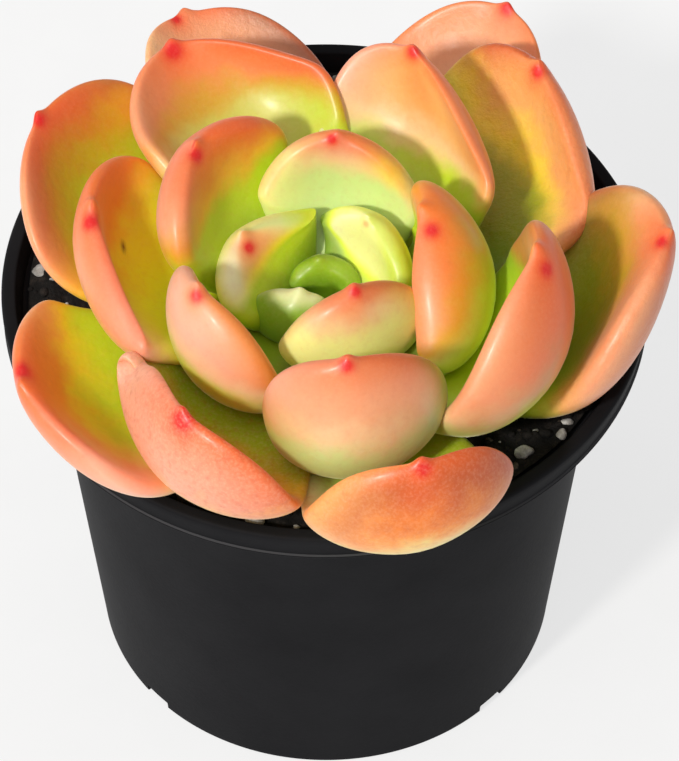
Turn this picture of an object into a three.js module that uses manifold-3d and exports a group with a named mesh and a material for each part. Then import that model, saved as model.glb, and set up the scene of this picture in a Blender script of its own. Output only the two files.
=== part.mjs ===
// Potted echeveria: a round nursery pot, potting mix, a short stem and a rosette of cupped, fleshy leaves.
// Units are millimetres, +Z is up, and the origin is the centre of the pot's base.
import * as THREE from "three";
import { mergeVertices } from "three/addons/utils/BufferGeometryUtils.js";
import Module from "manifold-3d";

const wasm = await Module();
wasm.setup();

// Clearance between touching pieces, the size below which a cut's detail is dropped, and the distance
// within which two corners are one
const GAP = 0.3;
const SHORTEST_DETAIL = 0.04;
const SAME_POINT = 1e-4;

// Pot
const POT_HEIGHT = 78.9;
const RIM_RADIUS = 52.5;
const COLLAR_HEIGHT = 5.1;
const COLLAR_DRAFT = 0.5;
const COLLAR_EDGE = 0.5;
const RIM_LIP = 2.4;
const LIP_EDGE = [0.4, 0.5];
const LIP_DRAFT = 1;
const WALL_TOP_RADIUS = 45.5;
const BASE_RADIUS = 37.7;
const BASE_EDGE = 0.3;
const WALL = 1.4;
const POT_SIDES = 64;
const NOTCH_WIDTH = 5.1;
const NOTCH_HEIGHT = 1.7;
const NOTCH_DEPTH = 6;
const NOTCH_ANGLES = [41.5, 138.5, 221.5, 317];
const POT_COLOUR = 0x2b2c2e;

// Potting mix
const SOIL_DROP = 3;
const SOIL_CROWN = 1;
const SOIL_SIDES = 72;
const SOIL_RINGS = [48.2, 45.8, 43.2, 40.4, 37.3, 34, 30.5, 26, 20, 13];
const RIPPLE = { height: 0.3, x: 0.31, y: 0.27, start: 1.3 };
const CROSS_RIPPLE = { height: 0.15, diagonal: 0.55 };
const CRUMB_COUNT = 70;
const CRUMB_SIZE = [1.2, 2.6];
const CRUMB_FREE_CENTRE = 0.15;
const LUMP_RISE = 0.7;
const SOIL_COLOUR = 0x1c1613;
const SOIL_SEED = 11;
// Large white perlite grains: distance from the pot's axis, bearing in degrees, radius.
const PERLITE = [
  [46, 156, 2.2], [45, 178, 1.4], [44.5, 226, 1.6], [45, 262, 1.2], [42.6, 305, 1.9],
  [45, 318, 1.4], [45, 331, 1.3], [45, 20, 1.3], [45, 64, 1.5], [45, 96, 1.6], [43, 122, 1.2],
];

// Stem: it leans a little towards the front, so the rosette's heart lies in front of its foot.
const STEM_FOOT_Z = 66;
const STEM_TOP_Z = 86.5;
const STEM_FOOT_RADIUS = 5.2;
const STEM_TOP_RADIUS = 1.6;
const STEM_FOOT_EDGE = [1, 2];
const STEM_TAPER_FROM = 0.5;
const STEM_TOP_EDGE = 0.6;
const STEM_SIDES = 16;
const AXIS_AT_SOIL = { x: -1, y: -6, z: 75 };
const AXIS_SLOPE = { x: -0.06, y: -0.3 };
const STEM_COLOUR = 0x8f9a5a;

// Leaves
const LEAF_SIDES = 12;
const LEAF_STATIONS = [0, 0.1, 0.2, 0.3, 0.4, 0.5, 0.6, 0.69, 0.77, 0.84, 0.9, 0.95, 0.985];
const MIDRIB_STEPS = 120;
const SECTION_POWER = 2.4;
const NECK_POWER = 1.5;
const ROOT_THICKNESS = 0.5;
const TIP_BLUNTNESS = [3, 2.2];
const ROOT_CURL = 0.35;
const FULL_CURL_AT = 0.45;
const KEEL = { depth: 0.12, width: 0.25, from: 0.45, over: 0.4 };
const TIP_POINT = 1.1;
const LEAF_COLOUR = 0xf0a070;
const LEAF_DEFAULTS = { roll: 0, twist: 0, sway: 0, base: 0.25, widest: 0.64, end: 2.1 };

const degrees = THREE.MathUtils.degToRad;
const clamp = THREE.MathUtils.clamp;
const smooth = (value) => THREE.MathUtils.smoothstep(value, 0, 1);

// One leaf per entry, from the heart outwards. az: bearing of the leaf, z: height of its root, root: how far
// the root stands off the stem's axis, pitch: slope at the root and at the tip, turn: where along the leaf
// it curves up, half: half the width of its blade, thick: its greatest thickness, cup: how far each side of
// the blade is rolled up into a trough, roll and twist: sideways tilt at the root and gained by the tip,
// sway: sideways bow, base: width of the root as a share, widest: place of the full width, end: bluntness.
const LEAVES = [
  { az: 73, z: 85.4, root: 0.5, length: 8.5, pitch: [49, 105], turn: [0.1, 0.85], half: 6.5, thick: 4.5,
    cup: 66, roll: 4, twist: 15, sway: -1, base: 0.3, widest: 0.62 },
  { az: 252, z: 85.3, root: 1.3, length: 16.5, pitch: [14, 105], turn: [0.2, 0.8], half: 7, thick: 6,
    cup: 60, roll: 5, twist: 4, sway: -1.5, base: 0.3, widest: 0.62 },
  { az: 34, z: 84.4, root: 2, length: 19, pitch: [31, 110], turn: [0.25, 1], half: 11, thick: 6,
    cup: 41, twist: 10, sway: -1.6, base: 0.28, widest: 0.62 },
  { az: 165, z: 83.8, root: 1.5, length: 18, pitch: [40, 82], turn: [0.4, 1], half: 13.2, thick: 7.5,
    cup: 62, roll: -11, twist: -13, base: 0.38, widest: 0.6, end: 2.2 },
  { az: 292, z: 83.3, root: 3.3, length: 31, pitch: [23, 102], turn: [0.25, 0.8], half: 13.2, thick: 7.5,
    cup: 38, roll: -7, twist: 11, sway: 0.5, base: 0.26, end: 1.7 },
  { az: 79, z: 83, root: 2.4, length: 30.5, pitch: [29, 99], turn: [0.25, 0.95], half: 15, thick: 6.8,
    cup: 57, roll: 4, sway: -1.3, widest: 0.58 },
  { az: 3, z: 82.7, root: 3.3, length: 40.5, pitch: [7, 128], turn: [0.2, 0.9], half: 17.5, thick: 9,
    cup: 57, roll: 4, twist: -8, sway: -6, base: 0.34, widest: 0.66 },
  { az: 223, z: 83.2, root: 4.4, length: 41, pitch: [6, 102], turn: [0.12, 0.94], half: 13.8, thick: 7.6,
    cup: 52, roll: -2, twist: -7, sway: 3.6, base: 0.3, widest: 0.67, end: 2.2 },
  { az: 147, z: 82.3, root: 3.6, length: 35.5, pitch: [30, 92], turn: [0.3, 0.94], half: 17.6, thick: 8.6,
    cup: 49, roll: 4, twist: -2, base: 0.2, widest: 0.67, end: 2.3 },
  { az: 278, z: 82.4, root: 3.8, length: 57, pitch: [8, 98], turn: [0.4, 0.78], half: 16.6, thick: 8,
    cup: 58, roll: 17, twist: -18, sway: 2.8, base: 0.22, widest: 0.75, end: 1.8 },
  { az: 176, z: 80.5, root: 5, length: 44, pitch: [18, 99], turn: [0.43, 1.05], half: 22, thick: 6.5,
    cup: 43, roll: 1, twist: 6, sway: 4.3, base: 0.2, widest: 0.68, end: 2 },
  { az: 339, z: 80.2, root: 5.9, length: 58.5, pitch: [6, 110], turn: [0.25, 0.95], half: 21.2, thick: 7.5,
    cup: 61, roll: -3, twist: 10, sway: -5.8, base: 0.36 },
  { az: 66, z: 80.8, root: 2.8, length: 46.5, pitch: [15, 79], turn: [0.3, 1.05], half: 19, thick: 5.4,
    cup: 59, twist: -17, sway: -6.6, base: 0.3, widest: 0.58 },
  { az: 243, z: 79.6, root: 4.3, length: 59, pitch: [8, 95], turn: [0.5, 0.9], half: 21.2, thick: 6.3,
    cup: 51, roll: -2, twist: -24, sway: -2, base: 0.2, widest: 0.72, end: 2 },
  { az: 121, z: 80.4, root: 4, length: 48.5, pitch: [17, 63], turn: [0.5, 1.05], half: 21.6, thick: 5.7,
    cup: 75, roll: 6, twist: -12, sway: -3, base: 0.27, widest: 0.62, end: 2 },
  { az: 289, z: 79.9, root: 2.9, length: 66.5, pitch: [-1, 105], turn: [0.5, 0.95], half: 18.4, thick: 6.2,
    cup: 45, twist: -4, sway: -1, base: 0.2, widest: 0.75, end: 2.5 },
  { az: 46, z: 79.5, root: 4.7, length: 56, pitch: [6, 82], turn: [0.52, 1.02], half: 20.5, thick: 7.8,
    cup: 36, roll: 7, twist: -20, sway: -5.7, base: 0.24, widest: 0.63, end: 2.3 },
  { az: 211, z: 80.2, root: 3.3, length: 58.5, pitch: [-2, 64], turn: [0.42, 0.96], half: 21, thick: 6.9,
    cup: 37, roll: -2, twist: -9, sway: 1.8, base: 0.2, widest: 0.72, end: 2 },
  { az: 150, z: 80, root: 3.4, length: 56, pitch: [0, 59], turn: [0.26, 1], half: 21, thick: 5.5,
    cup: 31, twist: 5, sway: 2, base: 0.24, widest: 0.68, end: 2.3 },
  { az: 359, z: 80, root: 3.8, length: 65.5, pitch: [-8, 67], turn: [0.3, 0.87], half: 20.8, thick: 8.8,
    cup: 44, roll: 13, twist: -14, sway: -2.2, base: 0.24, widest: 0.67 },
  { az: 112, z: 78.8, root: 3.7, length: 57.5, pitch: [6, 36], turn: [0.58, 0.92], half: 16.7, thick: 4.7,
    cup: 53, roll: 3, twist: 4, sway: -3.2, base: 0.26, widest: 0.63, end: 2.5 },
  { az: 61, z: 79.2, root: 3.9, length: 66, pitch: [-2, 62], turn: [0.55, 1], half: 16.7, thick: 4.6,
    cup: 42, roll: -4, twist: -4, sway: 1.9, base: 0.26, end: 2.3 },
].map((leaf) => ({ ...LEAF_DEFAULTS, ...leaf }));

// Small repeatable random draw, so that every build of the potting mix is the same.
function randomDraw(seed) {
  const multiplier = 16807;
  const modulus = 2147483647;
  let state = seed;
  return () => {
    state = (state * multiplier) % modulus;
    return state / modulus;
  };
}

function solidOf(geometry) {
  const bare = new THREE.BufferGeometry();
  bare.setAttribute("position", geometry.getAttribute("position").clone());
  if (geometry.index) bare.setIndex(geometry.index.clone());
  const merged = mergeVertices(bare, SAME_POINT);
  const kept = [];
  const order = merged.index.array;
  for (let i = 0; i < order.length; i += 3) {
    const [a, b, c] = [order[i], order[i + 1], order[i + 2]];
    if (a !== b && b !== c && a !== c) kept.push(a, b, c);
  }
  return new wasm.Manifold(new wasm.Mesh({
    numProp: 3,
    vertProperties: new Float32Array(merged.getAttribute("position").array),
    triVerts: new Uint32Array(kept),
  }));
}

function geometryOf(solid) {
  const mesh = solid.getMesh();
  const geometry = new THREE.BufferGeometry();
  geometry.setAttribute("position", new THREE.BufferAttribute(new Float32Array(mesh.vertProperties), 3));
  geometry.setIndex(new THREE.BufferAttribute(new Uint32Array(mesh.triVerts), 1));
  geometry.computeVertexNormals();
  return geometry;
}

// The one body that a cut leaves, without scraps and without edges too short to matter.
function finished(solid) {
  const largest = solid.decompose().reduce((best, part) => (part.volume() > best.volume() ? part : best));
  return largest.asOriginal().simplify(SHORTEST_DETAIL);
}

// A closed profile of [radius, height] points turned about the vertical axis.
function turned(profile, sides) {
  const geometry = new THREE.LatheGeometry(profile.map(([r, z]) => new THREE.Vector2(r, z)), sides);
  geometry.rotateX(Math.PI / 2);
  return geometry;
}

function wallRadius(z) {
  const share = z / (POT_HEIGHT - COLLAR_HEIGHT);
  return THREE.MathUtils.lerp(BASE_RADIUS, WALL_TOP_RADIUS, share);
}

function potSolid() {
  const collarFoot = POT_HEIGHT - COLLAR_HEIGHT;
  const inner = RIM_RADIUS - RIM_LIP;
  const profile = [
    [0, 0],
    [BASE_RADIUS - BASE_EDGE, 0],
    [wallRadius(BASE_EDGE), BASE_EDGE],
    [wallRadius(collarFoot), collarFoot],
    [RIM_RADIUS - COLLAR_DRAFT - COLLAR_EDGE, collarFoot],
    [RIM_RADIUS - COLLAR_DRAFT, collarFoot + COLLAR_EDGE],
    [RIM_RADIUS, POT_HEIGHT - COLLAR_EDGE],
    [RIM_RADIUS - COLLAR_EDGE, POT_HEIGHT],
    [inner, POT_HEIGHT],
    [inner - LIP_EDGE[0], POT_HEIGHT - LIP_EDGE[1]],
    [inner - LIP_DRAFT, collarFoot + WALL],
    [wallRadius(collarFoot) - WALL, collarFoot],
    [wallRadius(WALL) - WALL, WALL],
    [0, WALL],
  ];
  let pot = solidOf(turned(profile, POT_SIDES));
  for (const bearing of NOTCH_ANGLES) {
    const notch = new THREE.BoxGeometry(NOTCH_DEPTH, NOTCH_WIDTH, 2 * NOTCH_HEIGHT);
    notch.translate(BASE_RADIUS, 0, 0);
    notch.rotateZ(degrees(bearing));
    pot = pot.subtract(solidOf(notch));
  }
  return finished(pot);
}

// Lumps that stand up from the mix: the perlite, and crumbs strewn by the random draw.
function soilLumps() {
  const draw = randomDraw(SOIL_SEED);
  const lumps = PERLITE.map(([distance, bearing, size]) => ({ distance, bearing: degrees(bearing), size }));
  for (let i = 0; i < CRUMB_COUNT; i++) {
    lumps.push({
      distance: SOIL_RINGS[0] * Math.sqrt(THREE.MathUtils.lerp(CRUMB_FREE_CENTRE, 1, draw())),
      bearing: 2 * Math.PI * draw(),
      size: THREE.MathUtils.lerp(CRUMB_SIZE[0], CRUMB_SIZE[1], draw()),
    });
  }
  return lumps.map(({ distance, bearing, size }) => ({
    x: distance * Math.cos(bearing),
    y: distance * Math.sin(bearing),
    size,
  }));
}

// Height of the mix: a low crown round the stem with shallow ripples, and the highest lump at each point.
function soilHeight(x, y, lumps) {
  const crown = SOIL_CROWN * Math.cos((Math.PI / 2) * Math.min(Math.hypot(x, y) / RIM_RADIUS, 1));
  const ripple = RIPPLE.height * Math.sin(RIPPLE.x * x + RIPPLE.start) * Math.cos(RIPPLE.y * y);
  const cross = CROSS_RIPPLE.height * Math.sin(CROSS_RIPPLE.diagonal * (x - y));
  let lift = 0;
  for (const lump of lumps) {
    const near = Math.hypot(x - lump.x, y - lump.y) / lump.size;
    lift = Math.max(lift, LUMP_RISE * lump.size * Math.exp(-(near ** 2)));
  }
  return POT_HEIGHT - SOIL_DROP + crown + ripple + cross + lift;
}

// The body of mix fills the pot below its collar, with a lumpy top made of rings of points.
function soilBody() {
  const collarFoot = POT_HEIGHT - COLLAR_HEIGHT;
  const lumps = soilLumps();
  const points = [];
  const faces = [];
  const ring = (r, height) => {
    for (let k = 0; k < SOIL_SIDES; k++) {
      const bearing = (2 * Math.PI * k) / SOIL_SIDES;
      const x = r * Math.cos(bearing);
      const y = r * Math.sin(bearing);
      points.push(x, y, height ?? soilHeight(x, y, lumps));
    }
  };
  const floor = WALL + GAP;
  const neck = wallRadius(collarFoot) - WALL - GAP;
  ring(wallRadius(floor) - WALL - GAP, floor);
  ring(neck, collarFoot + GAP);
  for (const radius of SOIL_RINGS) ring(radius, null);
  const rings = SOIL_RINGS.length + 2;
  points.push(0, 0, floor, 0, 0, soilHeight(0, 0, lumps));
  const bottom = rings * SOIL_SIDES;
  for (let i = 0; i < rings; i++) {
    for (let k = 0; k < SOIL_SIDES; k++) {
      const a = i * SOIL_SIDES + k;
      const b = i * SOIL_SIDES + ((k + 1) % SOIL_SIDES);
      if (i === 0) faces.push(bottom, b, a);
      if (i < rings - 1) faces.push(a, b, b + SOIL_SIDES, a, b + SOIL_SIDES, a + SOIL_SIDES);
      else faces.push(a, b, bottom + 1);
    }
  }
  const geometry = new THREE.BufferGeometry();
  geometry.setAttribute("position", new THREE.Float32BufferAttribute(points, 3));
  geometry.setIndex(faces);
  return solidOf(geometry);
}

function soilSolid() {
  return finished(soilBody().subtract(stemSolid(GAP)));
}

function axisAt(z) {
  const rise = z - AXIS_AT_SOIL.z;
  return new THREE.Vector3(AXIS_AT_SOIL.x + AXIS_SLOPE.x * rise, AXIS_AT_SOIL.y + AXIS_SLOPE.y * rise, z);
}

// The stem is a tapered peg along the leaning axis, stood in a hole in the mix.
function stemSolid(grow = 0) {
  const foot = axisAt(STEM_FOOT_Z - grow);
  const top = axisAt(STEM_TOP_Z + grow);
  const length = foot.distanceTo(top);
  const peg = turned([
    [0, 0],
    [STEM_FOOT_RADIUS - STEM_FOOT_EDGE[0] + grow, 0],
    [STEM_FOOT_RADIUS + grow, STEM_FOOT_EDGE[1]],
    [STEM_FOOT_RADIUS + grow, length * STEM_TAPER_FROM],
    [STEM_TOP_RADIUS + grow, length - STEM_TOP_EDGE],
    [0, length],
  ], STEM_SIDES);
  const lean = new THREE.Quaternion().setFromUnitVectors(
    new THREE.Vector3(0, 0, 1),
    top.clone().sub(foot).normalize(),
  );
  peg.applyQuaternion(lean);
  peg.translate(foot.x, foot.y, foot.z);
  return solidOf(peg);
}

function widthShare(leaf, s) {
  if (s < leaf.widest) {
    return leaf.base + (1 - leaf.base) * Math.sin((Math.PI / 2) * (s / leaf.widest)) ** NECK_POWER;
  }
  return (1 - ((s - leaf.widest) / (1 - leaf.widest)) ** leaf.end) ** (1 / leaf.end);
}

// Thickness along a leaf as a share of its greatest, which lies halfway.
function thicknessShare(s) {
  if (s < 0.5) return THREE.MathUtils.lerp(ROOT_THICKNESS, 1, Math.sin(Math.PI * s));
  return (1 - (2 * s - 1) ** TIP_BLUNTNESS[0]) ** (1 / TIP_BLUNTNESS[1]);
}

function pitchAt(leaf, s) {
  const turn = smooth((s - leaf.turn[0]) / (leaf.turn[1] - leaf.turn[0]));
  return degrees(THREE.MathUtils.lerp(leaf.pitch[0], leaf.pitch[1], turn));
}

// Points of the midrib at each station, as distance out from the root and height above it.
function midrib(leaf, stations) {
  const steps = MIDRIB_STEPS;
  const path = [[0, 0]];
  for (let i = 0; i < steps; i++) {
    const pitch = pitchAt(leaf, (i + 0.5) / steps);
    const [out, up] = path[i];
    const step = leaf.length / steps;
    path.push([out + step * Math.cos(pitch), up + step * Math.sin(pitch)]);
  }
  return stations.map((s) => {
    const at = s * steps;
    const i = Math.min(Math.floor(at), steps - 1);
    const mix = (k) => THREE.MathUtils.lerp(path[i][k], path[i + 1][k], at - i);
    return [mix(0), mix(1)];
  });
}

const signedPower = (value, power) => Math.sign(value) * Math.abs(value) ** power;

// A leaf: a thick trough-shaped section swept up its midrib, narrow at the root, broad and round at the end,
// with a small point. grow makes the same leaf a little fatter, to cut clearance into its neighbours.
function leafSolid(leaf, grow = 0) {
  const bearing = degrees(leaf.az);
  const out = new THREE.Vector3(Math.cos(bearing), Math.sin(bearing), 0);
  const side = new THREE.Vector3(-Math.sin(bearing), Math.cos(bearing), 0);
  const up = new THREE.Vector3(0, 0, 1);
  const root = axisAt(leaf.z).addScaledVector(out, leaf.root);
  const ribs = midrib(leaf, LEAF_STATIONS);
  const points = [];
  LEAF_STATIONS.forEach((s, i) => {
    const pitch = pitchAt(leaf, s);
    const share = widthShare(leaf, s);
    const half = leaf.half * share;
    const thick = leaf.thick * thicknessShare(s);
    const unrolled = THREE.MathUtils.lerp(ROOT_CURL, 1, clamp(s / FULL_CURL_AT, 0, 1));
    const curl = degrees(leaf.cup) * Math.sqrt(share) * unrolled;
    const radius = half / curl;
    const roll = degrees(leaf.roll + leaf.twist * s);
    const inward = out.clone().multiplyScalar(-Math.sin(pitch)).addScaledVector(up, Math.cos(pitch));
    const across = side.clone().multiplyScalar(Math.cos(roll)).addScaledVector(inward, Math.sin(roll));
    const normal = side.clone().multiplyScalar(-Math.sin(roll)).addScaledVector(inward, Math.cos(roll));
    const centre = root.clone()
      .addScaledVector(out, ribs[i][0])
      .addScaledVector(up, ribs[i][1])
      .addScaledVector(side, leaf.sway * 4 * s * (1 - s));
    const keel = KEEL.depth * clamp((s - KEEL.from) / KEEL.over, 0, 1);
    for (let k = 0; k < LEAF_SIDES; k++) {
      const phase = (2 * Math.PI * k) / LEAF_SIDES;
      const u = signedPower(Math.cos(phase), 2 / SECTION_POWER);
      let h = (thick / 2 + grow) * signedPower(Math.sin(phase), 2 / SECTION_POWER);
      if (h < 0) h *= 1 + keel * Math.exp(-((u / KEEL.width) ** 2));
      const angle = curl * u * (1 + grow / half);
      const x = (radius - h) * Math.sin(angle);
      const y = radius * (1 - Math.cos(angle)) + h * Math.cos(angle);
      const point = centre.clone().addScaledVector(across, x).addScaledVector(normal, y);
      points.push(point.x, point.y, point.z);
    }
  });
  const last = LEAF_STATIONS.length - 1;
  const endPitch = pitchAt(leaf, 1);
  const tip = midrib(leaf, [1])[0];
  const point = TIP_POINT + grow;
  const apex = root.clone()
    .addScaledVector(out, tip[0] + point * Math.cos(endPitch))
    .addScaledVector(up, tip[1] + point * Math.sin(endPitch));
  const rootBack = root.clone().addScaledVector(out, -grow);
  points.push(rootBack.x, rootBack.y, rootBack.z, apex.x, apex.y, apex.z);
  const rootIndex = LEAF_STATIONS.length * LEAF_SIDES;
  const faces = [];
  for (let k = 0; k < LEAF_SIDES; k++) {
    const next = (k + 1) % LEAF_SIDES;
    faces.push(rootIndex, next, k);
    for (let i = 0; i < last; i++) {
      const a = i * LEAF_SIDES + k;
      const b = i * LEAF_SIDES + next;
      faces.push(a, b, b + LEAF_SIDES, a, b + LEAF_SIDES, a + LEAF_SIDES);
    }
    faces.push(last * LEAF_SIDES + k, last * LEAF_SIDES + next, rootIndex + 1);
  }
  const geometry = new THREE.BufferGeometry();
  geometry.setAttribute("position", new THREE.Float32BufferAttribute(points, 3));
  geometry.setIndex(faces);
  return solidOf(geometry);
}

// The rim with its clearance all round, and the crevice between it and the mix, which no leaf enters.
function rimClearance() {
  const inner = RIM_RADIUS - RIM_LIP - GAP;
  const below = POT_HEIGHT - 2 * COLLAR_HEIGHT;
  const mixEdge = POT_HEIGHT - SOIL_DROP + 2 * GAP;
  return solidOf(turned([
    [SOIL_RINGS[0] - 1, below],
    [RIM_RADIUS + GAP, below],
    [RIM_RADIUS + GAP, POT_HEIGHT],
    [RIM_RADIUS, POT_HEIGHT + GAP],
    [inner, POT_HEIGHT + GAP],
    [inner - LIP_DRAFT, POT_HEIGHT - LIP_EDGE[1]],
    [inner - LIP_DRAFT, mixEdge],
    [SOIL_RINGS[0] - 1, mixEdge],
    [SOIL_RINGS[0] - 1, below],
  ], POT_SIDES));
}

// Leaves are finished from the heart outwards: each is cut clear of the stem and of the leaves inside it,
// and lies just above the rim and the mix where it reaches down to them.
function rosetteSolids(soil) {
  const cutters = [stemSolid(GAP), rimClearance(), soil.translate([0, 0, GAP])];
  return LEAVES.map((leaf) => {
    let solid = leafSolid(leaf);
    for (const cutter of cutters) solid = solid.subtract(cutter);
    cutters.push(leafSolid(leaf, GAP));
    return finished(solid);
  });
}

function part(name, solid, color, roughness) {
  const material = new THREE.MeshStandardMaterial({ color, roughness, metalness: 0 });
  const mesh = new THREE.Mesh(geometryOf(solid), material);
  mesh.name = name;
  return mesh;
}

const pot = potSolid();
const soil = soilSolid();
const echeveria = new THREE.Group();
echeveria.add(part("pot", pot, POT_COLOUR, 0.55));
echeveria.add(part("soil", soil, SOIL_COLOUR, 0.95));
echeveria.add(part("stem", stemSolid(), STEM_COLOUR, 0.7));
const rosette = new THREE.Group();
rosetteSolids(soil).forEach((solid, i) => {
  rosette.add(part(`leaf_${String(i + 1).padStart(2, "0")}`, solid, LEAF_COLOUR, 0.45));
});
echeveria.add(rosette);

export default echeveria;
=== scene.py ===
# Looks of a potted echeveria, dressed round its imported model. Blender works in metres, and the numbers below
# are in mm and degrees unless a comment says otherwise.
import math

import bmesh
import bpy
import numpy as np
from mathutils import Matrix, Vector


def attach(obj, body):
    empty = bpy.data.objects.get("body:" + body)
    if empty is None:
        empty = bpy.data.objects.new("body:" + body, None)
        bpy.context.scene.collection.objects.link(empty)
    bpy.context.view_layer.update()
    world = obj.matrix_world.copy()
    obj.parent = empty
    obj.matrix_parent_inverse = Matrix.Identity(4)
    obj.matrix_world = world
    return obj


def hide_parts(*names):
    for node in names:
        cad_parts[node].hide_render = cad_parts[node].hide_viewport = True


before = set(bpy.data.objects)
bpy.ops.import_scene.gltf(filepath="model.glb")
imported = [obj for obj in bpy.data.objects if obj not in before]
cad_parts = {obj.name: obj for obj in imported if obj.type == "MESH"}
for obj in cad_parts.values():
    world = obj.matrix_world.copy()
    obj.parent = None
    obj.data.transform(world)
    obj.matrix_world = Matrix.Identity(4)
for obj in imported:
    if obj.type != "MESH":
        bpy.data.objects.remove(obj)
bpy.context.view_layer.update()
MM = 0.001

# Camera, as the photograph was taken: far away and well above the rim.
FRAME_WIDTH = 679
FRAME_HEIGHT = 761
CAMERA_ELEVATION = 50.835
CAMERA_DISTANCE = 1200
CAMERA_TARGET = (2.26, 0, 54.27)
FOCAL_PIXELS = 7293.6
SENSOR = 36
CLIP_METRES = (0.05, 20)

# Light: a key lamp from the front left, a very wide one that fills the shadows, and an even white studio
KEY_AZIMUTH = -127
KEY_ELEVATION = 41
KEY_STRENGTH = 2.15
KEY_SIZE = 6
KEY_COLOUR = (1, 0.97, 0.92)
FILL_AZIMUTH = -150
FILL_ELEVATION = 50
FILL_STRENGTH = 0.75
FILL_SIZE = 80
FILL_COLOUR = (1, 1, 1)
LAMP_METRES = 0.6
WORLD_STRENGTH = 0.38

# Floor
FLOOR_REACH_METRES = 12
FLOOR_DROP_METRES = 0.0002
FLOOR_GREYS = (0.2, 0.22)
FLOOR_GLOW = 0.72

# Pot
POT_HEIGHT = 78.9
RIM_RADIUS = 52.5
RIM_LIP = 2.4
RIM_ROUND = 0.7
LIP_ROUND = 0.5
COLLAR_HEIGHT = 5.1
COLLAR_FOOT = POT_HEIGHT - COLLAR_HEIGHT
COLLAR_DRAFT = 0.5
COLLAR_BEAD = 0.3
WALL_TOP_RADIUS = 45.5
SHOULDER_ROUND = 0.8
BASE_RADIUS = 37.7
BASE_ROUND = 0.35
BASE_HOLLOW = 0.4
WALL = 1.4
POT_SIDES = 256
NOTCH_WIDTH = 5.1
NOTCH_HEIGHT = 1.7
NOTCH_DEPTH = 6
NOTCH_ROUND = 0.25
NOTCH_ROUND_POINTS = 10
NOTCH_ANGLES = [41.5, 138.5, 221.5, 317]
POT_SMOOTH_ANGLE = 35

# Plastic: its two blacks as seen, 0 to 255, and a painted highlight, a lighter grey line along the collar's
# bead that stands in for the light it catches, with its height above the collar's foot, half its width, and how
# far inside the collar's lower radius it starts
PLASTIC_BLACKS = ((25, 25, 27), (31, 31, 33))
PAINTED_HIGHLIGHT_GREY = (62, 62, 64)
LINE_RISE = 0.6
LINE_HALF_WIDTH = 0.13
LINE_INSET = 0.05

# Potting mix and its large lumps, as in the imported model. A core share keeps what is strewn off the axis.
SOIL_DROP = 3
SOIL_CROWN = 1
SOIL_RADIUS = 48.2
SOIL_GAP = 0.3
SOIL_SIDES = 360
SOIL_RINGS = 110
SOIL_CORE_SHARE = 0.0005
SOIL_SEED = 11
CRUMB_COUNT = 70
CRUMB_CORE_SHARE = 0.15
CRUMB_SIZE = (1.2, 2.6)
LUMP_RISE = 0.7
PERLITE = [
    (46, 156, 2.2), (45, 178, 1.4), (44.5, 226, 1.6), (45, 262, 1.2), (42.6, 305, 1.9),
    (45, 318, 1.4), (45, 331, 1.3), (45, 20, 1.3), (45, 64, 1.5), (45, 96, 1.6), (43, 122, 1.2),
]

# Its gentle swells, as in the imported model: heights, waves in radians per mm, and where the first starts
SWELL_HEIGHTS = (0.3, 0.15)
SWELL_WAVES = (0.31, 0.27, 0.55)
SWELL_START = 1.3

# Its fine relief: seed, number of waves and height of two lumpy fields, which fade out towards the pot
SOIL_RELIEF = [(3, 1.4, 0.16), (4, 3.1, 0.13)]
RELIEF_FADE = 1.2
RELIEF_EDGE = 0.3

# Fine grains strewn over it: their sizes are smallest + spread * draw ** power, and kinds are told apart by a
# draw from 0 to 1
GRAIN_SEED = 5
GRAIN_COUNT = 1500
GRAIN_REACH = 48
GRAIN_CORE_SHARE = 0.12
GRAIN_SMALLEST = 0.25
GRAIN_SPREAD = 0.75
GRAIN_POWER = 2.2
CRUMBS_UP_TO = 0.82
CHIPS_UP_TO = 0.94
SPECK_SCALE = 0.7
GRAIN_RISE = 0.25
WHITE_RISE = 0.35

# Form of a grain: waves and depth of its coarse and fine lumps, range of its turns in radians and of its
# stretch, and how far apart in the lumpy fields two grains may lie
GRAIN_COARSE = (1.3, 0.2)
GRAIN_FINE = (3.2, 0.09)
GRAIN_TURN = 6.28
GRAIN_STRETCH = ((0.75, 0.75, 0.55), (1.35, 1.15, 0.95))
GRAIN_SHIFT = 50

# Dark, middle and light colour of each kind as seen, 0 to 255
EARTHS = {
    "soil_mix": ((8, 7, 6), (18, 15, 13), (58, 50, 44)),
    "soil_crumb": ((9, 8, 7), (24, 20, 18), (56, 48, 42)),
    "soil_chip": ((30, 25, 21), (70, 60, 52), (122, 110, 98)),
    "perlite": ((112, 108, 102), (172, 169, 164), (222, 220, 216)),
}

# White grains on the mix as seen: distance from the axis, bearing, radius
GRAINS = [
    (45.6, 174, 1.6), (45, 156, 1.6), (44.5, 226, 1.3), (47.9, 256.4, 1.3), (45.6, 313.6, 1.5),
    (47.4, 322.6, 0.9), (46.8, 325.4, 0.7), (44.2, 319.5, 0.6), (46, 16, 1.1), (46.4, 64, 1.2),
    (46, 93, 1.1), (46.6, 88, 0.7), (43, 122, 1), (47.8, 264.5, 0.5), (45.6, 307.5, 0.6),
]

# Stem: a straight foot and a tapering top, each with ridges. Their rings: from and to as shares of its
# length, and how many
STEM_FOOT_Z = 66
STEM_TOP_Z = 86.5
STEM_FOOT_RADIUS = 5.2
STEM_TOP_RADIUS = 1.6
STEM_SIDES = 64
STEM_FOOT_RINGS = (0.12, 0.5, 22)
STEM_TOP_RINGS = (0.53, 0.97, 26)
STEM_RIDGE_WAVES = 90
STEM_FOOT_RIDGE = 0.22
STEM_TOP_RIDGE = 0.15
STEM_COLOURS = ((104, 110, 60), (146, 140, 84), (158, 126, 92))
AXIS_AT_SOIL = np.array([-1.0, -6.0, 75.0])
AXIS_SLOPE = np.array([-0.06, -0.3, 1.0])

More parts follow.
